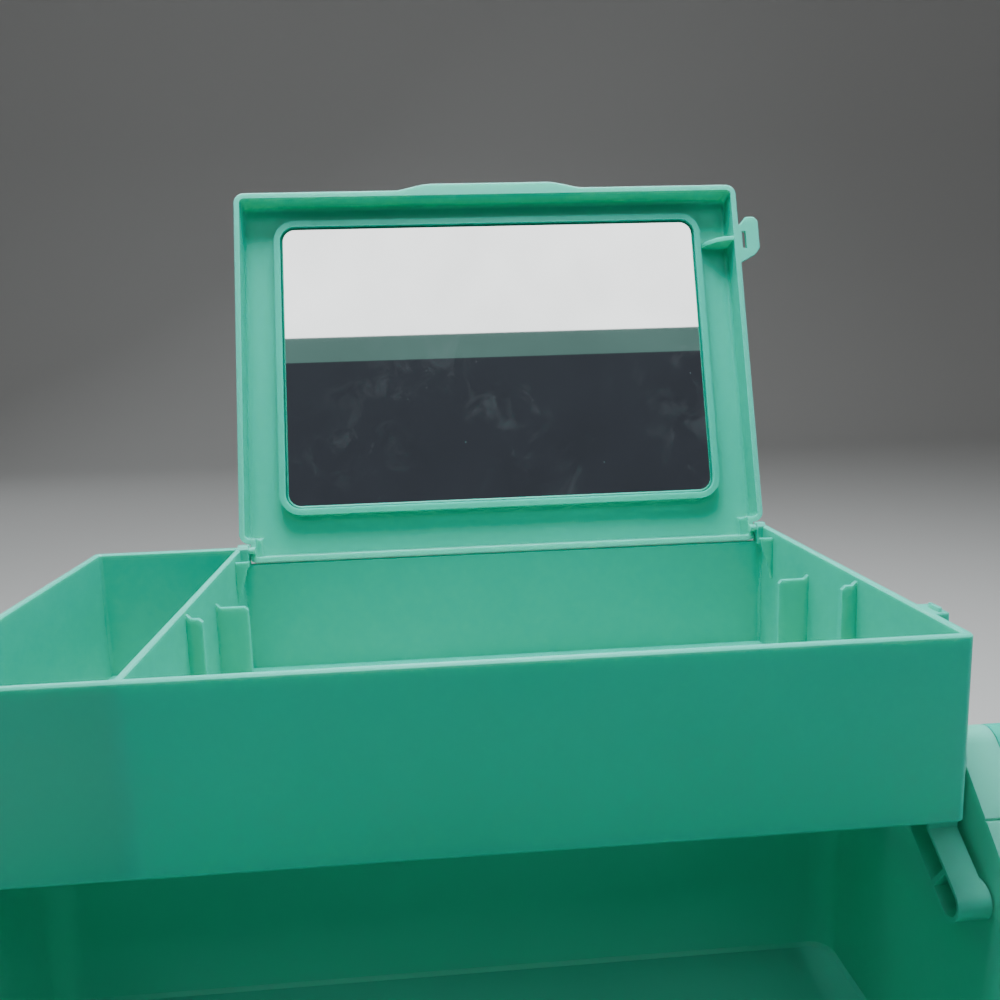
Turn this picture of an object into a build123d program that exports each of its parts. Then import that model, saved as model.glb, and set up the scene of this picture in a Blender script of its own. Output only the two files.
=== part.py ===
"""Makeup storage case: an open base bin, a cantilever tray with a mirror lid, and a carrying handle.

Units are millimetres. X runs along the length of the case, +Y away from the person who opens it,
+Z up. The origin is the centre of the underside. The tray is swung back and the lid stands open.
"""

import math
import os

from build123d import *

# ---- base bin: its length and depth follow from the tray that it holds ----
TRAY_TO_BASE_FRONT = 2.6
BASE_HEIGHT = 74.0
BASE_WALL = 2.4
BASE_CORNER = 12.0
BASE_DRAFT = 2.0
RIM_BEAD = 1.6
RIM_BEAD_HEIGHT = 4.0

# ---- tray ----
TRAY_LENGTH = 256.0
TRAY_DEPTH = 141.0
TRAY_HEIGHT = 49.2
TRAY_WALL = 2.2
TRAY_BOTTOM = 100.8
TRAY_SWUNG_BACK = 50.0
TRAY_CORNER = 2.0
BACK_WALL_DROP = 6.45
SHORT_LENGTH = 53.0
DIVIDER_WALL = 2.0

# ---- ribs inside the wide compartment: distance from the front, reach, drop below the rim ----
NEAR_RIB = (58.5, 4.6, 3.0)
FAR_RIB = (94.0, 10.3, 10.0)
RIB_WALL = 1.6

# ---- softened edges of the mouldings ----
RIM_SOFT = 0.5
RIM_EDGE_SHARE = 0.1
EDGE_SOFT = 1.2
LID_FLOOR_SOFT = 1.5

# ---- mirror lid ----
LID_INSET = 0.6
LID_OVERHANG = 3.0
LID_FROM_BACK = 5.0
LID_DEPTH = 12.5
LID_WALL = 2.0
LID_CORNER = 4.0
LID_OPEN = 106.5
LID_LIFT = 0.3
TONGUE_INSET = 4.2
TONGUE_REACH = 7.0
HINGE_FROM_BACK = 2.4
HINGE_DROP = 1.0
HINGE_PIN_RADIUS = 1.3
LIP_LENGTH = 83.0
LIP_FLAT = 45.0
LIP_REACH = 2.6
CLASP_FROM_FRONT = 23.5
CLASP_WALL = 2.0
NUB_HEIGHT = 1.2
NUB_OUT = 1.5
LEDGE_LENGTH = 8.8
LEDGE_BACK = 1.6
CLASP_SOFT = 1.3

# ---- mirror ----
MIRROR_SIDE_MARGIN = 16.95
MIRROR_END_MARGIN = 12.75
MIRROR_FORWARD = 0.9
MIRROR_THICK = 3.0
MIRROR_CORNER = 6.0
TAPE_THICK = 0.5
MIRROR_RIM_WALL = 2.4
MIRROR_RIM_HEIGHT = 4.6
TAPE_MARGIN = 12.0
TAPE_BAND = 15.0

# ---- ears of the base ----
EAR_WIDTH = 11.0
EAR_FLANGE = 2.2
EAR_HEAD_RADIUS = 7.0
EAR_LEAN = 43.5
EAR_BELOW_RIM = 12.0
EAR_GROOVE_Z = 97.0

# ---- links: straight line between the pivots, and the knee of the bent bar ----
LINK_REACH = 37.4
LINK_LEAN = 20.0
KNEE_REACH = 20.0
KNEE_LEAN = 52.5
LINK_WALL = 8.0
LINK_GAP = 0.4
LINK_RADIUS = 5.2
LINK_WEB = 1.1
LINK_FLOOR = 2.0
LINK_RIB = 1.4
LINK_RIB_FROM_PIVOT = 6.0
LINK_TO_BASE = 1.6
LOWER_PIVOT_Z = 75.4
FRONT_PIVOT_Y = -14.0
REAR_PIVOT_Y = 42.0
PIN_HEAD_WALL = 0.8
PIN_RADIUS = 2.5
PIN_CLEARANCE = 0.06
PIN_HEAD_RADIUS = 3.6

# ---- handle ----
HANDLE_PIVOT_Y = 5.5
HANDLE_PIVOT_Z = 107.0
HANDLE_REACH = 110.0
HANDLE_WALL = 5.0
HANDLE_WIDTH = 13.0
HUB_RADIUS = 7.0
HANDLE_TO_EAR = 0.4
GRIP_LENGTH = 132.0
GRIP_THICK = 15.0
GRIP_WIDTH = 14.0
GRIP_CORNER = 4.5
BEND = 16.0
HANDLE_PIN_RADIUS = 3.0
HANDLE_HEAD_RADIUS = 5.5
HANDLE_HEAD_WALL = 1.6

# ---- derived places ----
RUN = 0.3
HALF_TRAY = TRAY_LENGTH / 2
TRAY_FRONT = TRAY_SWUNG_BACK - TRAY_DEPTH / 2
DIVIDER_X = SHORT_LENGTH - HALF_TRAY
LID_LEFT = DIVIDER_X
LID_RIGHT = HALF_TRAY - LID_INSET
LINK_INNER = HALF_TRAY + LINK_GAP
LINK_OUTER = LINK_INNER + LINK_WALL
EAR_INNER = LINK_OUTER + LINK_TO_BASE
HALF_BASE = EAR_INNER + BASE_WALL
HALF_DEPTH = TRAY_DEPTH / 2 + TRAY_TO_BASE_FRONT + BASE_WALL
BASE_LENGTH = 2 * HALF_BASE
BASE_DEPTH = 2 * HALF_DEPTH
EAR_OUTER = EAR_INNER + EAR_WIDTH
HANDLE_INNER = EAR_OUTER + HANDLE_TO_EAR
TRAY_RIM = TRAY_BOTTOM + TRAY_HEIGHT
TRAY_BACK = TRAY_FRONT + TRAY_DEPTH
TRAY_MIDDLE = TRAY_FRONT + TRAY_DEPTH / 2
LEAN_Y = LINK_REACH * math.sin(math.radians(LINK_LEAN))
LEAN_Z = LINK_REACH * math.cos(math.radians(LINK_LEAN))
KNEE_Y = KNEE_REACH * math.sin(math.radians(KNEE_LEAN))
KNEE_Z = KNEE_REACH * math.cos(math.radians(KNEE_LEAN))
UPPER_LEG = math.hypot(LEAN_Y - KNEE_Y, LEAN_Z - KNEE_Z)
UPPER_LEG_LEAN = math.degrees(math.atan2(LEAN_Y - KNEE_Y, LEAN_Z - KNEE_Z))
HINGE_Y = TRAY_BACK - HINGE_FROM_BACK
HINGE_Z = TRAY_RIM - HINGE_DROP
LID_BACK = TRAY_BACK - LID_FROM_BACK
LID_REACH = LID_BACK - TRAY_FRONT + LID_OVERHANG
LID_RIM = TRAY_RIM + LID_LIFT
LID_FLOOR = LID_RIM + LID_DEPTH - LID_WALL
LID_MIDDLE = (LID_LEFT + LID_RIGHT) / 2
LID_WIDTH = LID_RIGHT - LID_LEFT
MIRROR_LENGTH = LID_WIDTH - 2 * MIRROR_SIDE_MARGIN
MIRROR_DEPTH = LID_REACH - 2 * MIRROR_END_MARGIN
MIRROR_MIDDLE_Y = LID_BACK - LID_REACH / 2 - MIRROR_FORWARD
CLASP_Y = LID_BACK - LID_REACH + CLASP_FROM_FRONT
EAR_FOOT = BASE_HEIGHT - EAR_BELOW_RIM
EAR_RISE = math.cos(math.radians(EAR_LEAN))
EAR_RUN = math.sin(math.radians(EAR_LEAN))
EAR_TOP_Y = HANDLE_PIVOT_Y - EAR_HEAD_RADIUS * EAR_RISE
EAR_TOP_Z = HANDLE_PIVOT_Z + EAR_HEAD_RADIUS * EAR_RUN
WALL_LEFT = DIVIDER_X + DIVIDER_WALL / 2
WALL_RIGHT = HALF_TRAY - TRAY_WALL
TONGUE_LEFT = LID_LEFT + TONGUE_INSET
TONGUE_RIGHT = LID_RIGHT - TONGUE_INSET
GRIP_OUT = 8.3
HANDLE_ANGLE = math.degrees(
    math.acos((HANDLE_PIVOT_Y + HALF_DEPTH - 0.9 + GRIP_OUT) / HANDLE_REACH))

os.makedirs("parts", exist_ok=True)


def finish(part, name):
    """Label a finished piece and write it as a STEP file."""
    part.label = name
    export_step(part, f"parts/{name}.step")


def side_plane(x, y, z):
    """Plane facing +X whose sketch X is the object's Y and whose sketch Y is the object's Z."""
    return Plane(origin=(x, y, z), x_dir=(0, 1, 0), z_dir=(1, 0, 0))


def opened(shape):
    """Turn a lid piece that was built closed into the open pose, about the lid hinge."""
    return shape.rotate(Axis((0, HINGE_Y, HINGE_Z), (1, 0, 0)), -LID_OPEN)


# ---- base bin with two end ears ----
def slope_y(z):
    """Give the Y of the ear's sloping front edge at height z."""
    return EAR_TOP_Y - (EAR_TOP_Z - z) * EAR_RUN / EAR_RISE


def ear_outline(start, inset):
    """Draw one end ear, or with an inset the recess in its outside: a wide foot and a round head."""
    with BuildSketch(side_plane(start, 0, 0)) as outline:
        with BuildLine():
            Polyline(
                (slope_y(BASE_HEIGHT - 2.0), EAR_FOOT),
                (slope_y(BASE_HEIGHT - 2.0), BASE_HEIGHT - 2.0),
                (EAR_TOP_Y, EAR_TOP_Z),
                (2 * HANDLE_PIVOT_Y - EAR_TOP_Y, EAR_TOP_Z),
                (REAR_PIVOT_Y + 9.0, LOWER_PIVOT_Z + 5.0),
                (REAR_PIVOT_Y + 12.0, BASE_HEIGHT - 2.0),
                (REAR_PIVOT_Y + 12.0, EAR_FOOT),
                close=True,
            )
        make_face()
        if inset > 0:
            offset(amount=-inset, kind=Kind.INTERSECTION)
            with Locations((HANDLE_PIVOT_Y, HANDLE_PIVOT_Z)):
                Circle(EAR_HEAD_RADIUS - 0.5, mode=Mode.SUBTRACT)
        else:
            with Locations((HANDLE_PIVOT_Y, HANDLE_PIVOT_Z)):
                Circle(EAR_HEAD_RADIUS)
    return outline.sketch


with BuildPart() as base_bin:
    with BuildSketch(Plane.XY.offset(BASE_HEIGHT)):
        RectangleRounded(BASE_LENGTH, BASE_DEPTH, BASE_CORNER)
    extrude(amount=-BASE_HEIGHT, taper=BASE_DRAFT)
    bottom_edges = base_bin.faces().sort_by(Axis.Z)[0].edges()
    chamfer(bottom_edges, EDGE_SOFT)
    with BuildSketch(Plane.XY.offset(BASE_HEIGHT - RIM_BEAD_HEIGHT)):
        RectangleRounded(BASE_LENGTH + 2 * RIM_BEAD, BASE_DEPTH + 2 * RIM_BEAD, BASE_CORNER + RIM_BEAD)
    extrude(amount=RIM_BEAD_HEIGHT)
    for side in (-1, 1):
        # each ear is a plate with a flange round it that points outwards
        start = EAR_INNER if side > 0 else -EAR_OUTER
        extrude(ear_outline(start, 0), amount=EAR_WIDTH)
        start = HALF_BASE if side > 0 else -EAR_OUTER
        extrude(ear_outline(start, EAR_FLANGE), amount=EAR_OUTER - HALF_BASE, mode=Mode.SUBTRACT)
    with BuildSketch(Plane.XY.offset(BASE_HEIGHT)):
        RectangleRounded(
            BASE_LENGTH - 2 * BASE_WALL, BASE_DEPTH - 2 * BASE_WALL, BASE_CORNER - BASE_WALL)
    extrude(amount=-(BASE_HEIGHT - BASE_WALL), taper=BASE_DRAFT, mode=Mode.SUBTRACT)
    inner_floor = base_bin.faces().filter_by(Plane.XY).sort_by(Axis.Z)[1]
    chamfer(inner_floor.edges(), EDGE_SOFT)
    for side in (-1, 1):
        # a groove across the sloping front flange
        with BuildSketch(side_plane(side * (EAR_INNER - 1.0), slope_y(EAR_GROOVE_Z), EAR_GROOVE_Z)):
            Rectangle(1.4, 0.8)
        extrude(amount=side * (EAR_WIDTH + 2.0), mode=Mode.SUBTRACT)
        # holes for the lower link pins and the handle pin
        for pivot_y in (FRONT_PIVOT_Y, REAR_PIVOT_Y):
            with BuildSketch(side_plane(side * LINK_OUTER, pivot_y, LOWER_PIVOT_Z)):
                Circle(PIN_RADIUS)
            extrude(amount=side * (HALF_BASE + 1.0 - LINK_OUTER), mode=Mode.SUBTRACT)
        with BuildSketch(side_plane(side * LINK_OUTER, HANDLE_PIVOT_Y, HANDLE_PIVOT_Z)):
            Circle(HANDLE_PIN_RADIUS)
        extrude(amount=side * (HANDLE_INNER - LINK_OUTER), mode=Mode.SUBTRACT)
finish(base_bin.part, "base_bin")


# ---- tray ----
def rib_outline(wall_x, direction, rib):
    """Draw one slot rib that stands on an end wall of the wide compartment."""
    distance, reach, drop = rib
    bottom = TRAY_BOTTOM + TRAY_WALL - 0.4
    top = TRAY_RIM - drop
    place = (wall_x, TRAY_FRONT + distance, 0)
    with BuildSketch(Plane(origin=place, x_dir=(direction, 0, 0), z_dir=(0, -direction, 0))) as outline:
        with BuildLine():
            Polyline(
                (-0.6, bottom),
                (reach, bottom),
                (reach, top - 1.2),
                (reach - 1.2, top),
                (1.4, top),
                (0.0, top + 1.4),
                (-0.6, top + 1.4),
                close=True,
            )
        make_face()
    return outline.sketch


def knuckle_outline(start):
    """Draw one hinge knuckle at a back corner of the wide compartment."""
    with BuildSketch(side_plane(start, 0, 0)) as outline:
        with BuildLine():
            Polyline(
                (HINGE_Y - 2.2, TRAY_RIM - 7.0),
                (HINGE_Y - 2.2, HINGE_Z + 1.0),
                (HINGE_Y - 1.0, HINGE_Z + 2.2),
                (HINGE_Y + 1.0, HINGE_Z + 2.2),
                (TRAY_BACK, HINGE_Z + 1.0),
                (TRAY_BACK, TRAY_RIM - 7.0),
                close=True,
            )
        make_face()
    return outline.sketch


def gusset_outline(wall_x, direction):
    """Draw the tapering gusset in front of one hinge knuckle."""
    place = (wall_x, TRAY_BACK - 14.0, 0)
    with BuildSketch(Plane(origin=place, x_dir=(direction, 0, 0), z_dir=(0, -direction, 0))) as outline:
        with BuildLine():
            Polyline(
                (-0.6, TRAY_RIM - 2.6),
                (4.9, TRAY_RIM - 2.6),
                (0.5, TRAY_RIM - 18.0),
                (-0.6, TRAY_RIM - 18.0),
                close=True,
            )
        make_face()
    return outline.sketch


with BuildPart() as upper_tray:
    with BuildSketch(Plane.XY.offset(TRAY_BOTTOM)):
        with Locations((0, TRAY_MIDDLE)):
            RectangleRounded(TRAY_LENGTH, TRAY_DEPTH, TRAY_CORNER)
    extrude(amount=TRAY_HEIGHT)
    chamfer(upper_tray.faces().sort_by(Axis.Z)[0].edges(), 0.8)
    narrow = (DIVIDER_X - DIVIDER_WALL / 2) + WALL_RIGHT
    wide = WALL_RIGHT - WALL_LEFT
    with BuildSketch(Plane.XY.offset(TRAY_RIM)):
        with Locations((-WALL_RIGHT + narrow / 2, TRAY_MIDDLE)):
            RectangleRounded(narrow, TRAY_DEPTH - 2 * TRAY_WALL, 1.2)
        with Locations((WALL_LEFT + wide / 2, TRAY_MIDDLE)):
            RectangleRounded(wide, TRAY_DEPTH - 2 * TRAY_WALL, 1.2)
    extrude(amount=-(TRAY_HEIGHT - TRAY_WALL), mode=Mode.SUBTRACT)
    for rib_size in (NEAR_RIB, FAR_RIB):
        extrude(rib_outline(WALL_LEFT, 1, rib_size), amount=RIB_WALL / 2, both=True)
        extrude(rib_outline(WALL_RIGHT, -1, rib_size), amount=RIB_WALL / 2, both=True)
    # the back wall is lower between the knuckles, where the lid's tongue turns through
    with BuildSketch(Plane.XY.offset(TRAY_RIM - BACK_WALL_DROP)):
        with Locations((LID_MIDDLE, TRAY_BACK)):
            Rectangle(LID_WIDTH - 2 * TONGUE_INSET + 2 * RUN, 8.0)
    extrude(amount=12.0, mode=Mode.SUBTRACT)
    extrude(knuckle_outline(WALL_LEFT - 1.0), amount=TONGUE_LEFT - RUN - (WALL_LEFT - 1.0))
    extrude(knuckle_outline(WALL_RIGHT + 1.0), amount=TONGUE_RIGHT + RUN - (WALL_RIGHT + 1.0))
    extrude(gusset_outline(WALL_LEFT, 1), amount=0.8, both=True)
    extrude(gusset_outline(WALL_RIGHT, -1), amount=0.8, both=True)
    with BuildSketch(side_plane(WALL_LEFT - 0.6, HINGE_Y, HINGE_Z)):
        Circle(HINGE_PIN_RADIUS + PIN_CLEARANCE)
    extrude(amount=wide + 1.2, mode=Mode.SUBTRACT)
    # catch ledge and nub on the right wall, for the clasp tab of the lid
    with BuildSketch(Plane.XY.offset(TRAY_RIM - 2.4)):
        with Locations((HALF_TRAY + 1.6, CLASP_Y + LEDGE_BACK)):
            Rectangle(3.6, LEDGE_LENGTH)
    extrude(amount=2.4)
    with BuildSketch(Plane.XY.offset(TRAY_RIM - 0.4)):
        with Locations((HALF_TRAY + NUB_OUT, CLASP_Y + LEDGE_BACK / 2)):
            Rectangle(0.9, 5.0)
    extrude(amount=NUB_HEIGHT + 0.4)
    # the two open rims have softened edges
    level = upper_tray.faces().filter_by(Plane.XY)
    rim_faces = level.filter_by_position(Axis.Z, TRAY_RIM - 0.01, TRAY_RIM + 0.01)
    rim_edges = rim_faces.edges().filter_by(lambda edge: edge.length > TRAY_DEPTH * RIM_EDGE_SHARE)
    chamfer(rim_edges, RIM_SOFT)
    # holes in both ends for the upper link pins
    for side in (-1, 1):
        for pivot_y in (FRONT_PIVOT_Y + LEAN_Y, REAR_PIVOT_Y + LEAN_Y):
            with BuildSketch(side_plane(side * (WALL_RIGHT - 1.0), pivot_y, LOWER_PIVOT_Z + LEAN_Z)):
                Circle(PIN_RADIUS)
            extrude(amount=side * 10.0, mode=Mode.SUBTRACT)
finish(upper_tray.part, "upper_tray")


# ---- mirror lid, drawn closed over the wide compartment and then turned open ----
def lid_outline(grow):
    """Draw the lid from above: a wide pan and a narrower tongue at the hinge side."""
    with BuildSketch(Plane.XY.offset(LID_RIM)) as outline:
        with Locations((LID_MIDDLE, LID_BACK - LID_REACH / 2)):
            RectangleRounded(LID_WIDTH + 2 * grow, LID_REACH + 2 * grow, LID_CORNER + grow)
        with Locations((LID_MIDDLE, LID_BACK - 6.0 + TONGUE_REACH / 2)):
            RectangleRounded(
                LID_WIDTH - 2 * TONGUE_INSET + 2 * grow, TONGUE_REACH + 12.0 + 2 * grow, 1.6 + grow / 2)
    return outline.sketch


def lip_outline():
    """Draw the thumb lip: a flat run with an eased ramp at each end."""
    front = LID_BACK - LID_REACH
    with BuildSketch(Plane.XY.offset(LID_RIM)) as outline:
        with BuildLine():
            right = Spline(
                (LID_MIDDLE + LIP_FLAT / 2, front - LIP_REACH),
                (LID_MIDDLE + LIP_LENGTH / 2, front + 0.4),
                tangents=[(1, 0), (1, 0)],
            )
            left = Spline(
                (LID_MIDDLE - LIP_LENGTH / 2, front + 0.4),
                (LID_MIDDLE - LIP_FLAT / 2, front - LIP_REACH),
                tangents=[(1, 0), (1, 0)],
            )
            Line(left @ 1, right @ 0)
            Line(right @ 1, left @ 0)
        make_face()
    return outline.sketch


def clasp_outline(clasp_y):
    """Draw the clasp tab that snaps over the tray's nub, with its slot."""
    with BuildSketch(Plane.XY.offset(LID_RIM)) as outline:
        with BuildLine():
            Polyline(
                (LID_RIGHT - 1.0, clasp_y - 6.4),
                (LID_RIGHT + 0.6, clasp_y - 6.4),
                (LID_RIGHT + 3.2, clasp_y - 9.6),
                (LID_RIGHT + 6.6, clasp_y - 9.6),
                (LID_RIGHT + 8.2, clasp_y - 7.8),
                (LID_RIGHT + 8.2, clasp_y + 3.6),
                (LID_RIGHT + 6.4, clasp_y + 6.0),
                (LID_RIGHT + 0.2, clasp_y + 9.4),
                (LID_RIGHT - 1.0, clasp_y + 9.4),
                close=True,
            )
        make_face()
        outer = outline.vertices().filter_by_position(Axis.X, LID_RIGHT + 3.0, LID_RIGHT + 9.0)
        fillet(outer, CLASP_SOFT)
        with Locations((HALF_TRAY + NUB_OUT, clasp_y)):
            Rectangle(1.8, 7.4, mode=Mode.SUBTRACT)
    return outline.sketch


def lid_gusset_outline(gusset_y):
    """Draw the quarter-round gusset that stiffens the lid behind the clasp tab."""
    place = (LID_RIGHT - LID_WALL, gusset_y, 0)
    with BuildSketch(Plane(origin=place, x_dir=(-1, 0, 0), z_dir=(0, 1, 0))) as outline:
        with BuildLine():
            curve = Spline(
                (-0.6, LID_RIM + 0.8),
                (4.6, LID_RIM + 1.4),
                (9.4, LID_RIM + 5.2),
                (11.6, LID_FLOOR + 0.3),
            )
            Line(curve @ 1, (-0.6, LID_FLOOR + 0.3))
            Line((-0.6, LID_FLOOR + 0.3), curve @ 0)
        make_face()
    return outline.sketch


with BuildPart() as mirror_lid:
    extrude(lid_outline(0.0), amount=LID_DEPTH)
    extrude(lid_outline(-LID_WALL), amount=LID_DEPTH - LID_WALL, mode=Mode.SUBTRACT)
    floor_face = mirror_lid.faces().filter_by(Plane.XY).sort_by(Axis.Z)[-2]
    fillet(floor_face.edges(), LID_FLOOR_SOFT)
    top_face = mirror_lid.faces().sort_by(Axis.Z)[-1]
    chamfer(top_face.edges(), EDGE_SOFT)
    extrude(lip_outline(), amount=2.2)
    # raised rim that frames the mirror
    with BuildSketch(Plane.XY.offset(LID_FLOOR + 0.2)):
        with Locations((LID_MIDDLE, MIRROR_MIDDLE_Y)):
            RectangleRounded(
                MIRROR_LENGTH + 2 * MIRROR_RIM_WALL + 0.6,
                MIRROR_DEPTH + 2 * MIRROR_RIM_WALL + 0.6,
                MIRROR_CORNER + MIRROR_RIM_WALL,
            )
            RectangleRounded(MIRROR_LENGTH + 0.6, MIRROR_DEPTH + 0.6, MIRROR_CORNER, mode=Mode.SUBTRACT)
    extrude(amount=-(MIRROR_RIM_HEIGHT + 0.2))
    # clasp tab with its slot, level with the lid's rim on the right side
    extrude(clasp_outline(CLASP_Y), amount=CLASP_WALL)
    extrude(lid_gusset_outline(CLASP_Y - 1.0), amount=0.8, both=True)
    # hinge pins at both ends of the tongue
    for end_x, wall_x in ((TONGUE_LEFT, WALL_LEFT), (TONGUE_RIGHT, WALL_RIGHT)):
        outward = 1 if wall_x > end_x else -1
        with BuildSketch(side_plane(end_x - outward * LID_WALL, HINGE_Y, HINGE_Z)):
            Circle(HINGE_PIN_RADIUS)
        extrude(amount=outward * (LID_WALL + 0.2) + wall_x - end_x)
        with BuildSketch(side_plane(end_x - outward * LID_WALL, HINGE_Y, HINGE_Z)):
            with Locations((0, 1.6)):
                Rectangle(2 * HINGE_PIN_RADIUS, 4.2)
        extrude(amount=outward * LID_WALL)
lid_open = opened(mirror_lid.part)
finish(lid_open, "mirror_lid")

with BuildPart() as mirror_tape:
    with BuildSketch(Plane.XY.offset(LID_FLOOR)):
        with Locations((LID_MIDDLE, MIRROR_MIDDLE_Y)):
            Rectangle(MIRROR_LENGTH - 2 * TAPE_MARGIN, MIRROR_DEPTH - 2 * TAPE_MARGIN)
            window = TAPE_MARGIN + TAPE_BAND
            Rectangle(MIRROR_LENGTH - 2 * window, MIRROR_DEPTH - 2 * window, mode=Mode.SUBTRACT)
    extrude(amount=-TAPE_THICK)
finish(opened(mirror_tape.part), "mirror_tape")

with BuildPart() as mirror:
    with BuildSketch(Plane.XY.offset(LID_FLOOR - TAPE_THICK)):
        with Locations((LID_MIDDLE, MIRROR_MIDDLE_Y)):
            RectangleRounded(MIRROR_LENGTH, MIRROR_DEPTH, MIRROR_CORNER - 0.4)
    extrude(amount=-MIRROR_THICK)
    chamfer(mirror.faces().sort_by(Axis.Z)[0].edges(), 0.8)
finish(opened(mirror.part), "mirror")


# ---- links ----
def link_outline(start, pivot_y, radius, upper_share):
    """Draw the bent bar of a link: a lower leg to the knee, and a share of the upper leg."""
    lower = Location((KNEE_Y / 2, KNEE_Z / 2), -KNEE_LEAN)
    end_y = KNEE_Y + (LEAN_Y - KNEE_Y) * upper_share
    end_z = KNEE_Z + (LEAN_Z - KNEE_Z) * upper_share
    upper = Location(((KNEE_Y + end_y) / 2, (KNEE_Z + end_z) / 2), -UPPER_LEG_LEAN)
    with BuildSketch(side_plane(start, pivot_y, LOWER_PIVOT_Z)) as outline:
        with Locations((0, 0), (KNEE_Y, KNEE_Z), (end_y, end_z)):
            Circle(radius)
        with Locations(lower):
            Rectangle(2 * radius, KNEE_REACH)
        with Locations(upper):
            Rectangle(2 * radius, UPPER_LEG * upper_share)
    return outline.sketch


def link_solid(side, pivot_y):
    """Build one cantilever link between a base pivot and a tray pivot."""
    start = LINK_INNER if side > 0 else -LINK_OUTER
    with BuildPart() as link:
        extrude(link_outline(start, pivot_y, LINK_RADIUS, 1.0), amount=LINK_WALL)
        # a round pad keeps the lower end away from the ear
        with BuildSketch(side_plane(side * LINK_OUTER, pivot_y, LOWER_PIVOT_Z)):
            Circle(LINK_RADIUS)
        extrude(amount=side * (LINK_TO_BASE - 0.5))
        # the side towards the tray is hollow, with a rib above the lower pin
        start = LINK_INNER if side > 0 else -(LINK_OUTER - LINK_FLOOR)
        hollow = link_outline(start, pivot_y, LINK_RADIUS - LINK_WEB, 0.35)
        extrude(hollow, amount=LINK_WALL - LINK_FLOOR, mode=Mode.SUBTRACT)
        share = LINK_RIB_FROM_PIVOT / KNEE_REACH
        with BuildSketch(side_plane(start, pivot_y, LOWER_PIVOT_Z)):
            with Locations(Location((KNEE_Y * share, KNEE_Z * share), -KNEE_LEAN)):
                Rectangle(2 * (LINK_RADIUS - LINK_WEB) + 0.4, LINK_RIB)
        extrude(amount=LINK_WALL - LINK_FLOOR)
        with BuildSketch(side_plane(side * HALF_TRAY, pivot_y, LOWER_PIVOT_Z)):
            with Locations((0, 0), (LEAN_Y, LEAN_Z)):
                Circle(PIN_RADIUS + PIN_CLEARANCE)
        extrude(amount=side * (EAR_INNER - HALF_TRAY), mode=Mode.SUBTRACT)
    return link.part


def pin_solid(start_x, end_x, head_start, head_end, y, z, radius, head_radius):
    """Build one pivot pin: a plain shaft and a flat round head."""
    with BuildPart() as pin:
        with BuildSketch(side_plane(start_x, y, z)):
            Circle(radius)
        extrude(amount=end_x - start_x)
        with BuildSketch(side_plane(head_start, y, z)):
            Circle(head_radius)
        extrude(amount=head_end - head_start)
    return pin.part


for side, side_name in ((-1, "left"), (1, "right")):
    for pivot_y, place in ((FRONT_PIVOT_Y, "front"), (REAR_PIVOT_Y, "rear")):
        finish(link_solid(side, pivot_y), f"{place}_link_{side_name}")
        # lower pin: head in the hollow of the link, shaft pressed through the ear
        lower_head = LINK_OUTER - LINK_FLOOR - RUN
        lower_pin = pin_solid(
            side * lower_head, side * HALF_BASE,
            side * lower_head, side * (lower_head - PIN_HEAD_WALL),
            pivot_y, LOWER_PIVOT_Z, PIN_RADIUS, PIN_HEAD_RADIUS)
        finish(lower_pin, f"{place}_lower_pin_{side_name}")
        # upper pin: head on the wall side of the link, shaft pressed through the tray's wall
        upper_head = LINK_OUTER + 0.1
        upper_pin = pin_solid(
            side * WALL_RIGHT, side * upper_head,
            side * upper_head, side * (upper_head + PIN_HEAD_WALL),
            pivot_y + LEAN_Y, LOWER_PIVOT_Z + LEAN_Z, PIN_RADIUS, PIN_HEAD_RADIUS)
        finish(upper_pin, f"{place}_upper_pin_{side_name}")


# ---- handle, lowered to the front ----
angle = math.radians(HANDLE_ANGLE)
along = Vector(0, -math.cos(angle), -math.sin(angle))
across = Vector(0, -math.sin(angle), math.cos(angle))
pivot = Vector(0, HANDLE_PIVOT_Y, HANDLE_PIVOT_Z)
handle_plane = Plane(origin=pivot, x_dir=(1, 0, 0), z_dir=across)
ARM_MIDDLE = HANDLE_INNER + HANDLE_WALL / 2

with BuildPart() as handle:
    grip_start = pivot + along * HANDLE_REACH - Vector(GRIP_LENGTH / 2, 0, 0)
    with BuildSketch(Plane(origin=grip_start, x_dir=along, z_dir=(1, 0, 0))):
        RectangleRounded(GRIP_THICK, GRIP_WIDTH, GRIP_CORNER)
    extrude(amount=GRIP_LENGTH)
    chamfer(handle.faces().filter_by(Axis.X).edges(), EDGE_SOFT)
    with BuildLine(handle_plane) as strap_path:
        FilletPolyline(
            (-ARM_MIDDLE, 0),
            (-ARM_MIDDLE, -HANDLE_REACH),
            (ARM_MIDDLE, -HANDLE_REACH),
            (ARM_MIDDLE, 0),
            radius=BEND,
        )
    with BuildSketch(Plane(origin=pivot - Vector(ARM_MIDDLE, 0, 0), x_dir=(1, 0, 0), z_dir=along)):
        strap = Rectangle(HANDLE_WALL, HANDLE_WIDTH)
        chamfer(strap.vertices(), EDGE_SOFT)
    sweep(path=strap_path.wires()[0])
    for side in (-1, 1):
        start = HANDLE_INNER if side > 0 else -(HANDLE_INNER + HANDLE_WALL)
        with BuildSketch(side_plane(start, HANDLE_PIVOT_Y, HANDLE_PIVOT_Z)):
            Circle(HUB_RADIUS)
        extrude(amount=HANDLE_WALL)
    with BuildSketch(side_plane(-ARM_MIDDLE - HANDLE_WALL, HANDLE_PIVOT_Y, HANDLE_PIVOT_Z)):
        Circle(HANDLE_PIN_RADIUS + PIN_CLEARANCE)
    extrude(amount=2 * (ARM_MIDDLE + HANDLE_WALL), mode=Mode.SUBTRACT)
finish(handle.part, "handle")

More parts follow.
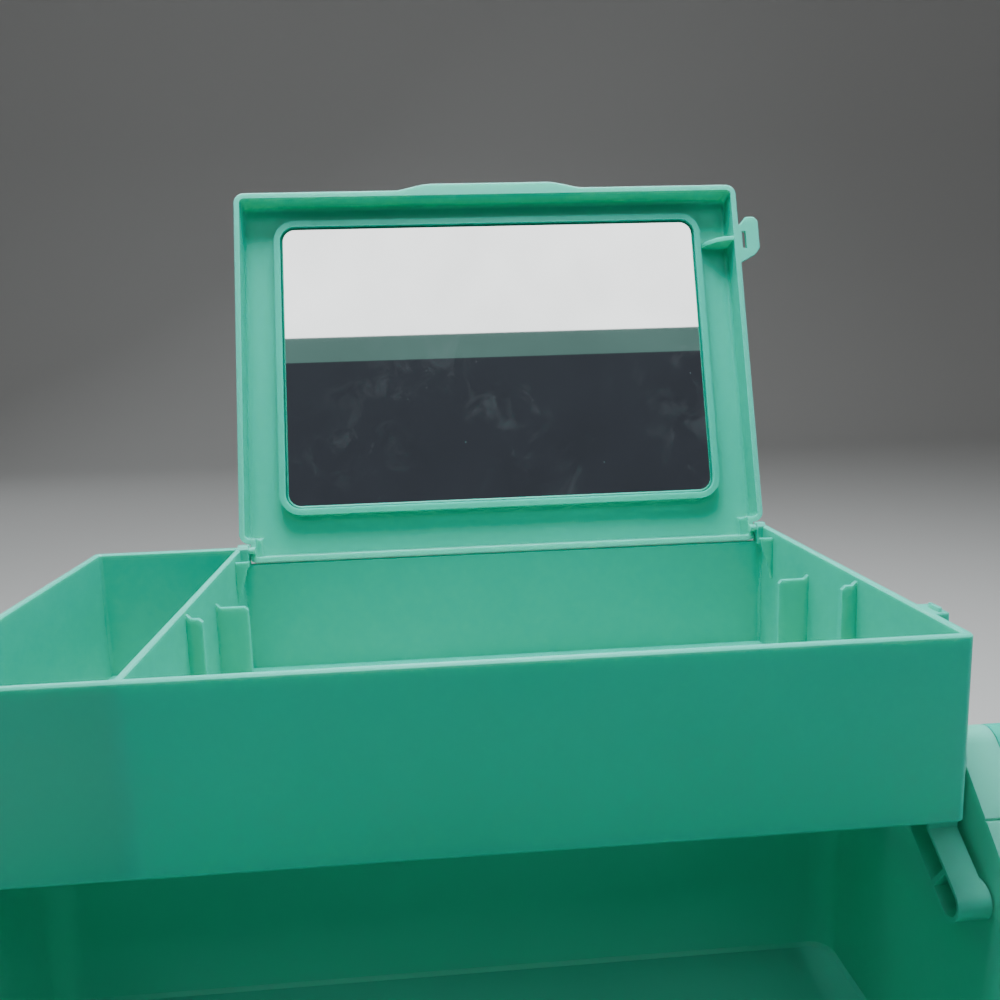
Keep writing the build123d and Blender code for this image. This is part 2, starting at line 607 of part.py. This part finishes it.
for side, side_name in ((-1, "left"), (1, "right")):
    outer = HANDLE_INNER + HANDLE_WALL + RUN
    inner = EAR_INNER + 0.1
    with BuildPart() as handle_pin:
        with BuildSketch(side_plane(side * inner, HANDLE_PIVOT_Y, HANDLE_PIVOT_Z)):
            Circle(HANDLE_PIN_RADIUS)
        extrude(amount=side * (outer - inner))
        with BuildSketch(side_plane(side * outer, HANDLE_PIVOT_Y, HANDLE_PIVOT_Z)):
            Circle(HANDLE_HEAD_RADIUS)
        extrude(amount=side * HANDLE_HEAD_WALL)
        crown = handle_pin.faces().filter_by(GeomType.PLANE).sort_by(Axis.X)[-1 if side > 0 else 0]
        chamfer(crown.edges(), 0.9)
    finish(handle_pin.part, f"handle_pin_{side_name}")
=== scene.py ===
"""Looks of the makeup storage case: moulded plastic, mirror glass, studio and camera."""

import logging
import math
from dataclasses import dataclass
from enum import Enum
from typing import Any

import bmesh
import bpy
from mathutils import Matrix, Vector


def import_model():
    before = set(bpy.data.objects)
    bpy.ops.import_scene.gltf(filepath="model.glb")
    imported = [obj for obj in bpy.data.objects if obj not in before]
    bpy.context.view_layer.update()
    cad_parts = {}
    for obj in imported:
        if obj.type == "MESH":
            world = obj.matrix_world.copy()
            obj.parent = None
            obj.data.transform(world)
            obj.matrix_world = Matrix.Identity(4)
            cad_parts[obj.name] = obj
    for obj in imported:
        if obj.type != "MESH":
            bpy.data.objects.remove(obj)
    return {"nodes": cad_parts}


LOG = logging.getLogger("makeup_case")
MM = 0.001
SENSOR_WIDTH = 36.0
IMAGE_WIDTH = 1000.0
Colour = tuple[float, float, float, float]
Place = tuple[float, float, float]


class Side(Enum):
    """The two ends of the case."""

    LEFT = "left"
    RIGHT = "right"


class Grain(Enum):
    """How a moulded surface was finished in the mould."""

    SATIN = "satin"
    POLISHED = "polished"

    @property
    def strength(self) -> float:
        """Return how strongly the grain shows as a bump."""
        return 0.05 if self is Grain.SATIN else 0.02


# ---------------------------------------------------------------- node helpers
class Nodes:
    """A small wrapper that adds and links shader nodes in one material."""

    MIX_BASE = 6
    MIX_TONE = 7
    MIX_RESULT = 2

    def __init__(self, name: str) -> None:
        """Create an empty node material.

        Args:
            name: Name of the material.
        """
        self.material = bpy.data.materials.new(name)
        self.material.use_nodes = True
        self.tree = self.material.node_tree
        self.tree.nodes.clear()
        self.output = self.tree.nodes.new("ShaderNodeOutputMaterial")

    def add(self, kind: str, **values: Any) -> bpy.types.Node:
        """Add a node and set its properties and input values.

        Args:
            kind: Blender's node type.
            values: Properties by name, or inputs by name with spaces as underscores.

        Returns:
            The new node.
        """
        node = self.tree.nodes.new(kind)
        for key, value in values.items():
            if hasattr(node, key):
                setattr(node, key, value)
            else:
                node.inputs[key.replace("_", " ")].default_value = value
        return node

    def link(self, source: Any, target: Any) -> None:
        """Link an output socket to an input socket.

        Args:
            source: Output socket.
            target: Input socket.
        """
        self.tree.links.new(source, target)

    def span(self, source: Any, low: float, high: float, start: float, end: float) -> Any:
        """Map a range of values onto another one, clamped.

        Args:
            source: Socket with the value.
            low: Start of the range that is read.
            high: End of the range that is read.
            start: Value given at low.
            end: Value given at high.

        Returns:
            The mapped output.
        """
        node = self.add("ShaderNodeMapRange")
        limits = {"From Min": low, "From Max": high, "To Min": start, "To Max": end}
        for name, value in limits.items():
            node.inputs[name].default_value = value
        self.link(source, node.inputs["Value"])
        return node.outputs["Result"]

    def blend(self, factor: Any, base: Any, tone: Colour) -> Any:
        """Mix a constant colour into another one.

        Args:
            factor: Socket with the share of the tone.
            base: Socket with the colour so far.
            tone: The colour to mix in.

        Returns:
            The mixed colour output.
        """
        node = self.add("ShaderNodeMix", data_type="RGBA")
        self.link(factor, node.inputs["Factor"])
        self.link(base, node.inputs[self.MIX_BASE])
        node.inputs[self.MIX_TONE].default_value = tone
        return node.outputs[self.MIX_RESULT]

    def combine(self, operation: str, first: Any, second: Any) -> Any:
        """Add or multiply two values.

        Args:
            operation: Name of the operation.
            first: Socket with the first value.
            second: Socket with the second value.

        Returns:
            The output with the result.
        """
        node = self.add("ShaderNodeMath", operation=operation)
        self.link(first, node.inputs[0])
        self.link(second, node.inputs[1])
        return node.outputs["Value"]

    def noise(self, place: Any, scale: float, detail: float, **values: float) -> Any:
        """Add a noise texture.

        Args:
            place: Object coordinates.
            scale: Scale of the noise.
            detail: Octaves of the noise.
            values: Further input values by name.

        Returns:
            The noise value, 0 to 1.
        """
        node = self.add("ShaderNodeTexNoise", Scale=scale, Detail=detail, **values)
        self.link(place, node.inputs["Vector"])
        return node.outputs["Fac"]

    def bump(self, height: Any, strength: float, distance: float, under: Any = None) -> Any:
        """Add a bump.

        Args:
            height: Socket with the height.
            strength: Strength of the bump.
            distance: Depth of the bump in metres.
            under: Normal that the bump is laid on, if any.

        Returns:
            The bumped normal.
        """
        node = self.add("ShaderNodeBump", Strength=strength, Distance=distance)
        self.link(height, node.inputs["Height"])
        if under is not None:
            self.link(under, node.inputs["Normal"])
        return node.outputs["Normal"]

    def place(self) -> Any:
        """Return the object coordinates."""
        return self.add("ShaderNodeTexCoord").outputs["Object"]

    def finish(self, shader: bpy.types.Node) -> bpy.types.Material:
        """Link the shader to the output.

        Args:
            shader: Node of the surface.

        Returns:
            The finished material.
        """
        self.link(shader.outputs[0], self.output.inputs["Surface"])
        return self.material

    def ramp(self, source: Any, stops: list[tuple[float, Colour]]) -> Any:
        """Map a value through a colour ramp.

        Args:
            source: Socket that drives the ramp.
            stops: Positions and colours.

        Returns:
            The ramp's colour output.
        """
        node = self.add("ShaderNodeValToRGB")
        elements = node.color_ramp.elements
        elements[0].position, elements[0].color = stops[0]
        elements[1].position, elements[1].color = stops[-1]
        for position, colour in stops[1:-1]:
            element = elements.new(position)
            element.color = colour
        self.link(source, node.inputs["Fac"])
        return node.outputs["Color"]


@dataclass(frozen=True)
class PaintedRimLight:
    """Painted light: a paler colour painted near the plane of a thin open rim, where light gets
    through the wall.
    """

    normal: Place
    level: float
    strength: float = 0.25
    colour: Colour = (0.22, 0.74, 0.60, 1.0)
    depth: float = 0.0009
    full_share: float = 0.3

    def apply(self, nodes: Nodes, place: Any, colour: Any) -> Any:
        """Blend the painted light in near the plane of the rim.

        Args:
            nodes: The material's nodes.
            place: Object coordinates.
            colour: Colour so far.

        Returns:
            The blended colour.
        """
        along = nodes.add("ShaderNodeVectorMath", operation="DOT_PRODUCT")
        along.inputs[1].default_value = self.normal
        nodes.link(place, along.inputs[0])
        start = self.level - self.depth
        full = self.level - self.full_share * self.depth
        near = nodes.span(along.outputs["Value"], start, full, 0.0, self.strength)
        return nodes.blend(near, colour, self.colour)


@dataclass(frozen=True)
class PaintedWallShade:
    """Painted shade: a darker colour painted on the front wall over the short compartment, up to
    the cross wall, where less light gets through the wall.
    """

    cross_wall: float
    front: float
    colour: Colour
    strength: float = 0.55
    fade: tuple[float, float] = (-0.003, 0.002)
    skin: tuple[float, float] = (0.0002, 0.0012)

    def apply(self, nodes: Nodes, place: Any, colour: Any) -> Any:
        """Blend the painted shade in on the front wall, left of the cross wall.

        Args:
            nodes: The material's nodes.
            place: Object coordinates.
            colour: Colour so far.

        Returns:
            The blended colour.
        """
        axes = nodes.add("ShaderNodeSeparateXYZ")
        nodes.link(place, axes.inputs["Vector"])
        ends = [self.cross_wall + step for step in self.fade]
        left = nodes.span(axes.outputs["X"], *ends, self.strength, 0.0)
        ends = [self.front + step for step in self.skin]
        front = nodes.span(axes.outputs["Y"], *ends, 1.0, 0.0)
        return nodes.blend(nodes.combine("MULTIPLY", left, front), colour, self.colour)


@dataclass(frozen=True)
class MouldedPlastic:
    """Moulded polypropylene with a satin grain, faint flow marks and handling scuffs."""

    name: str
    base: Colour
    deep: Colour
    roughness: float = 0.42
    grain: Grain = Grain.SATIN
    # Painted light on the rim, and painted shade on the front wall, where given.
    rim: PaintedRimLight | None = None
    painted_shade: PaintedWallShade | None = None
    glow: float = 0.7
    glow_depth: float = 0.0045
    glow_reach: Place = (0.6, 1.0, 0.85)
    refraction: float = 1.49
    sheen: float = 0.4

    def build(self) -> bpy.types.Material:
        """Return the node material.

        Returns:
            The finished material.
        """
        nodes = Nodes(self.name)
        place = nodes.place()
        cloud = nodes.noise(place, 14.0, 3.0, Roughness=0.55)
        colour = nodes.ramp(cloud, [(0.30, self.deep), (0.72, self.base)])
        # Paint in the light on the rim and the shade on the front wall, where given.
        for tone in (self.rim, self.painted_shade):
            if tone is not None:
                colour = tone.apply(nodes, place, colour)
        grain = nodes.noise(place, 2600.0, 2.0, Roughness=0.6)
        flow = nodes.noise(place, 55.0, 1.5, Roughness=0.5)
        scuff = nodes.noise(place, 210.0, 5.0, Roughness=0.7, Distortion=1.4)
        fine = nodes.bump(grain, self.grain.strength, 0.0004)
        shader = nodes.add(
            "ShaderNodeBsdfPrincipled",
            IOR=self.refraction,
            Specular_IOR_Level=self.sheen,
            Subsurface_Weight=self.glow,
            Subsurface_Radius=self.glow_reach,
            Subsurface_Scale=self.glow_depth)
        nodes.link(colour, shader.inputs["Base Color"])
        nodes.link(
            nodes.span(scuff, 0.35, 0.75, self.roughness - 0.05, self.roughness + 0.08),
            shader.inputs["Roughness"])
        nodes.link(nodes.bump(flow, 0.035, 0.0012, fine), shader.inputs["Normal"])
        return nodes.finish(shader)


@dataclass(frozen=True)
class SilveredGlass:
    """Mirror glass with faint finger smudges and specks of dust."""

    name: str
    tint: Colour = (0.93, 0.95, 0.95, 1.0)
    film: Colour = (0.62, 0.68, 0.74, 1.0)
    smudge: float = 0.06
    dust: float = 0.16

    def build(self) -> bpy.types.Material:
        """Return the node material.

        Returns:
            The finished material.
        """
        nodes = Nodes(self.name)
        place = nodes.place()
        smear = nodes.noise(place, 75.0, 7.0, Roughness=0.70, Distortion=0.9)
        patch = nodes.noise(place, 26.0, 2.0)
        where = nodes.span(patch, 0.44, 0.62, 0.0, 1.0)
        smudges = nodes.combine("MULTIPLY", where, nodes.span(smear, 0.52, 0.74, 0.0, self.smudge))
        speck = nodes.add("ShaderNodeTexVoronoi", Scale=170.0, Randomness=1.0)
        nodes.link(place, speck.inputs["Vector"])
        specks = nodes.span(speck.outputs["Distance"], 0.03, 0.06, self.dust, 0.0)
        glass = nodes.add("ShaderNodeBsdfPrincipled", Metallic=1.0, Roughness=0.015)
        glass.inputs["Base Color"].default_value = self.tint
        haze = nodes.add("ShaderNodeBsdfDiffuse")
        haze.inputs["Color"].default_value = self.film
        nodes.link(nodes.span(smear, 0.0, 1.0, 0.2, 0.6), haze.inputs["Roughness"])
        mix = nodes.add("ShaderNodeMixShader")
        nodes.link(nodes.combine("ADD", smudges, specks), mix.inputs["Fac"])
        nodes.link(glass.outputs["BSDF"], mix.inputs[1])
        nodes.link(haze.outputs["BSDF"], mix.inputs[2])
        return nodes.finish(mix)


@dataclass(frozen=True)
class FoamTape:
    """White double-sided foam tape with fine cells."""

    name: str
    colour: Colour = (0.82, 0.82, 0.79, 1.0)
    cell: Colour = (0.70, 0.70, 0.67, 1.0)

    def build(self) -> bpy.types.Material:
        """Return the node material.

        Returns:
            The finished material.
        """
        nodes = Nodes(self.name)
        cells = nodes.add("ShaderNodeTexVoronoi", Scale=900.0)
        nodes.link(nodes.place(), cells.inputs["Vector"])
        depth = cells.outputs["Distance"]
        shader = nodes.add("ShaderNodeBsdfPrincipled", Roughness=0.9)
        shade = nodes.ramp(depth, [(0.0, self.cell), (0.6, self.colour)])
        nodes.link(shade, shader.inputs["Base Color"])
        nodes.link(nodes.bump(depth, 0.3, 0.0004), shader.inputs["Normal"])
        return nodes.finish(shader)


@dataclass(frozen=True)
class StudioPaper:
    """Plain pale backdrop paper with a fine tooth."""

    name: str
    colour: Colour = (0.55, 0.55, 0.55, 1.0)

    def build(self) -> bpy.types.Material:
        """Return the node material.

        Returns:
            The finished material.
        """
        nodes = Nodes(self.name)
        fibre = nodes.noise(nodes.place(), 900.0, 3.0)
        shader = nodes.add("ShaderNodeBsdfPrincipled", Roughness=0.85)
        shader.inputs["Base Color"].default_value = self.colour
        nodes.link(nodes.bump(fibre, 0.05, 0.0003), shader.inputs["Normal"])
        return nodes.finish(shader)


@dataclass(frozen=True)
class StudioCloth:
    """Plain cloth or card that stands behind the camera, lit by itself."""

    name: str
    colour: Colour
    shine: float
    shadow: float = 0.9

    def build(self) -> bpy.types.Material:
        """Return the node material.

        Returns:
            The finished material.
        """
        nodes = Nodes(self.name)
        weave = nodes.noise(nodes.place(), 6.0, 2.0)
        dark = tuple(part * self.shadow for part in self.colour[:3]) + (1.0,)
        shade = nodes.ramp(weave, [(0.3, dark), (0.7, self.colour)])
        shader = nodes.add("ShaderNodeBsdfPrincipled", Roughness=0.9)
        nodes.link(shade, shader.inputs["Base Color"])
        nodes.link(shade, shader.inputs["Emission Color"])
        shader.inputs["Emission Strength"].default_value = self.shine
        return nodes.finish(shader)


# ---------------------------------------------------------------- finishes
MINT_BASE = (0.008, 0.560, 0.430, 1.0)
MINT_DEEP = (0.006, 0.530, 0.400, 1.0)
UP = (0.0, 0.0, 1.0)
LID_FACE = (0.0, -0.95882, 0.28402)
BIN_RIM_HEIGHT = 0.0740
TRAY_RIM_HEIGHT = 0.1500
LID_RIM_LEVEL = -0.07222
CROSS_WALL_X = -0.0750
TRAY_FRONT_Y = -0.0205
FINISHES = {
    "case": MouldedPlastic("mint_case_plastic", MINT_BASE, MINT_DEEP),
    # The bin's plastic is paler than the case's: painted light that lifts its shaded inside. Its
    # rim gets painted light too.
    "bin": MouldedPlastic(
        "mint_bin_plastic", (0.110, 0.620, 0.490, 1.0), (0.098, 0.595, 0.465, 1.0),
        rim=PaintedRimLight(UP, BIN_RIM_HEIGHT, strength=0.35)),
    # The tray gets painted light on its rim and painted shade on its front wall over the short
    # compartment.
    "tray": MouldedPlastic(
        "mint_tray_plastic", MINT_BASE, MINT_DEEP, rim=PaintedRimLight(UP, TRAY_RIM_HEIGHT),
        painted_shade=PaintedWallShade(CROSS_WALL_X, TRAY_FRONT_Y, (0.030, 0.470, 0.345, 1.0))),
    # The lid gets painted light on its rim.
    "lid": MouldedPlastic(
        "mint_lid_plastic", MINT_BASE, MINT_DEEP, rim=PaintedRimLight(LID_FACE, LID_RIM_LEVEL)),
    "link": MouldedPlastic(
        "mint_link_plastic", (0.110, 0.640, 0.500, 1.0), (0.095, 0.610, 0.470, 1.0),
        roughness=0.36, grain=Grain.POLISHED),
    "pin": MouldedPlastic(
        "mint_pin_plastic", (0.046, 0.590, 0.425, 1.0), (0.038, 0.550, 0.390, 1.0),
        roughness=0.30, grain=Grain.POLISHED),
    "mirror": SilveredGlass("mirror_glass"),
    "tape": FoamTape("foam_tape"),
    "paper": StudioPaper("studio_paper"),
    "curtain": StudioCloth("dark_curtain_cloth", (0.036, 0.042, 0.053, 1.0), 0.8),
    "rail": StudioCloth("curtain_rail_paint", (0.10, 0.20, 0.18, 1.0), 0.8),
    "card": StudioCloth("white_card_board", (0.92, 0.93, 0.93, 1.0), 2.4),
}


def dress(names: list[str], material: bpy.types.Material) -> None:
    """Give CAD nodes a material.

    Args:
        names: Node names.
        material: The finish.
    """
    for name in names:
        item = FRAME["nodes"][name]
        item.data.materials.clear()
        item.data.materials.append(material)
        LOG.info("dressed %s with %s", name, material.name)


def to_object(mesh: bmesh.types.BMesh, name: str, material: bpy.types.Material) -> bpy.types.Object:
    """Turn a finished bmesh into a scene object.

    Args:
        mesh: The bmesh, in metres.
        name: Object name.
        material: The finish.

    Returns:
        The new object.
    """
    bmesh.ops.recalc_face_normals(mesh, faces=mesh.faces)
    data = bpy.data.meshes.new(name)
    mesh.to_mesh(data)
    mesh.free()
    data.materials.append(material)
    item = bpy.data.objects.new(name, data)
    bpy.context.scene.collection.objects.link(item)
    return item


# ---------------------------------------------------------------- sub-assemblies
ROWS = ("front", "rear")


@dataclass
class BaseBin:
    """The open bin with its two ears and the pins in them."""

    body: str = "base_bin"

    def build(self) -> None:
        """Dress the bin and its pins."""
        dress([self.body], MATERIALS["bin"])
        pins = [f"{row}_lower_pin_{side.value}" for row in ROWS for side in Side]
        pins += [f"handle_pin_{side.value}" for side in Side]
        dress(pins, MATERIALS["pin"])


@dataclass
class Links:
    """The four cantilever links."""

    part: str = "link"

    def build(self) -> None:
        """Dress the four links."""
        links = [f"{row}_{self.part}_{side.value}" for row in ROWS for side in Side]
        dress(links, MATERIALS["link"])


@dataclass
class UpperTray:
    """The cantilever tray and its upper link pins."""

    body: str = "upper_tray"

    def build(self) -> None:
        """Dress the tray and its pins."""
        dress([self.body], MATERIALS["tray"])
        pins = [f"{row}_upper_pin_{side.value}" for row in ROWS for side in Side]
        dress(pins, MATERIALS["pin"])


@dataclass
class MirrorLid:
    """The mirror lid with its glass and tape."""

    body: str = "mirror_lid"

    def build(self) -> None:
        """Dress the lid, the mirror and the tape."""
        dress([self.body], MATERIALS["lid"])
        dress(["mirror"], MATERIALS["mirror"])
        dress(["mirror_tape"], MATERIALS["tape"])


@dataclass
class Handle:
    """The carrying handle."""

    body: str = "handle"

    def build(self) -> None:
        """Dress the handle."""
        dress([self.body], MATERIALS["case"])


@dataclass(frozen=True)
class Lamp:
    """One soft area light that faces the case."""

    name: str
    place: Place
    power: float
    size: float
    colour: Place = (0.95, 0.99, 1.0)
    target: Place = (0.0, 0.05, 0.15)

    def build(self) -> None:
        """Hang the light."""
        data = bpy.data.lights.new(self.name, "AREA")
        data.energy = self.power
        data.size = self.size
        data.color = self.colour
        item = bpy.data.objects.new(self.name, data)
        item.location = self.place
        aim = Vector(self.target) - Vector(self.place)
        item.rotation_euler = aim.to_track_quat("-Z", "Y").to_euler()
        bpy.context.scene.collection.objects.link(item)


@dataclass(frozen=True)
class Panel:
    """A flat panel behind the camera, where only the mirror sees it."""

    name: str
    low: Place
    high: Place
    finish: str

    def build(self) -> None:
        """Stand the panel between its lower left and upper right corner."""
        left, near, bottom = self.low
        right, far, top = self.high
        corners = (
            (left, near, bottom), (right, near, bottom),
            (right, far, top), (left, far, top))
        mesh = bmesh.new()
        mesh.faces.new([mesh.verts.new(corner) for corner in corners])
        to_object(mesh, self.name, MATERIALS[self.finish])


@dataclass
class Studio:
    """Pale floor and wall, soft lights, what the mirror reflects, and the camera."""

    camera_at: Place = (-1.4, -222.6, 222.3)
    yaw: float = -4.227
    pitch: float = -9.632
    roll: float = 1.723
    focal: float = 912.0
    near_clip: float = 0.01
    floor_reach: float = 5.0
    floor_back: float = 1.6
    floor_bend: float = 0.5
    bend_steps: int = 10
    wall_height: float = 3.2
    sky: Colour = (0.90, 0.89, 0.86, 1.0)
    sky_strength: float = 0.15
    lamps: tuple[Lamp, ...] = (
        Lamp("top_light", (0.0, 0.08, 0.80), 9.8, 0.34),
        Lamp("side_light", (0.95, -0.06, 0.42), 1.8, 0.35),
        Lamp("back_light", (-0.9, 1.2, 1.1), 5.0, 0.7),
    )
    panels: tuple[Panel, ...] = (
        Panel("dark_curtain", (-2.2, -1.7, 0.0), (2.2, -1.7, 1.385), "curtain"),
        Panel("curtain_rail", (-2.2, -1.7, 1.385), (2.2, -1.7, 1.465), "rail"),
        Panel("white_card", (-1.0, -1.8, 1.44), (1.0, -1.45, 2.0), "card"),
    )

    def floor(self) -> None:
        """Build the sweep of backdrop paper under and behind the case."""
        mesh = bmesh.new()
        reach, bend = self.floor_reach, self.floor_bend
        line = [mesh.verts.new((-reach, along, 0.0)) for along in (-reach, self.floor_back)]
        for step in range(1, self.bend_steps + 1):
            angle = 0.5 * math.pi * step / self.bend_steps
            back = self.floor_back + bend * math.sin(angle)
            line.append(mesh.verts.new((-reach, back, bend * (1.0 - math.cos(angle)))))
        line.append(mesh.verts.new((-reach, self.floor_back + bend, self.wall_height)))
        edges = [mesh.edges.new(pair) for pair in zip(line, line[1:])]
        sweep = bmesh.ops.extrude_edge_only(mesh, edges=edges)
        moved = [item for item in sweep["geom"] if isinstance(item, bmesh.types.BMVert)]
        bmesh.ops.translate(mesh, verts=moved, vec=(2.0 * reach, 0.0, 0.0))
        paper = to_object(mesh, "studio_sweep", MATERIALS["paper"])
        for face in paper.data.polygons:
            face.use_smooth = True

    def surroundings(self) -> None:
        """Set the even light that comes from all sides."""
        world = bpy.data.worlds.new("even_light")
        world.use_nodes = True
        background = world.node_tree.nodes["Background"]
        background.inputs["Color"].default_value = self.sky
        background.inputs["Strength"].default_value = self.sky_strength
        bpy.context.scene.world = world

    def camera(self) -> None:
        """Place the camera where the picture was taken from."""
        data = bpy.data.cameras.new("camera")
        data.sensor_width = SENSOR_WIDTH
        data.sensor_fit = "HORIZONTAL"
        data.lens = self.focal / IMAGE_WIDTH * SENSOR_WIDTH
        data.clip_start = self.near_clip
        item = bpy.data.objects.new("camera", data)
        turn = (
            Matrix.Rotation(math.radians(self.yaw), 3, "Z")
            @ Matrix.Rotation(math.radians(self.pitch), 3, "X")
            @ Matrix.Rotation(math.radians(self.roll), 3, "Y"))
        level = Matrix(((1, 0, 0), (0, 0, -1), (0, 1, 0)))
        place = Matrix.Translation(Vector(self.camera_at) * MM)
        item.matrix_world = place @ (turn @ level).to_4x4()
        bpy.context.scene.collection.objects.link(item)
        bpy.context.scene.camera = item

    def build(self) -> None:
        """Build floor, reflected panels, lights and camera."""
        self.floor()
        for item in self.panels + self.lamps:
            item.build()
        self.surroundings()
        self.camera()


def main() -> None:
    """Dress the case, piece by piece, and set up the studio."""
    logging.basicConfig(level=logging.INFO, format="%(name)s: %(message)s")
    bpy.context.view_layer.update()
    for assembly in (BaseBin(), Links(), UpperTray(), MirrorLid(), Handle(), Studio()):
        assembly.build()
        LOG.info("built %s", type(assembly).__name__)


if __name__ == "__main__":
    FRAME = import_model()
    MATERIALS = {key: finish.build() for key, finish in FINISHES.items()}
    main()
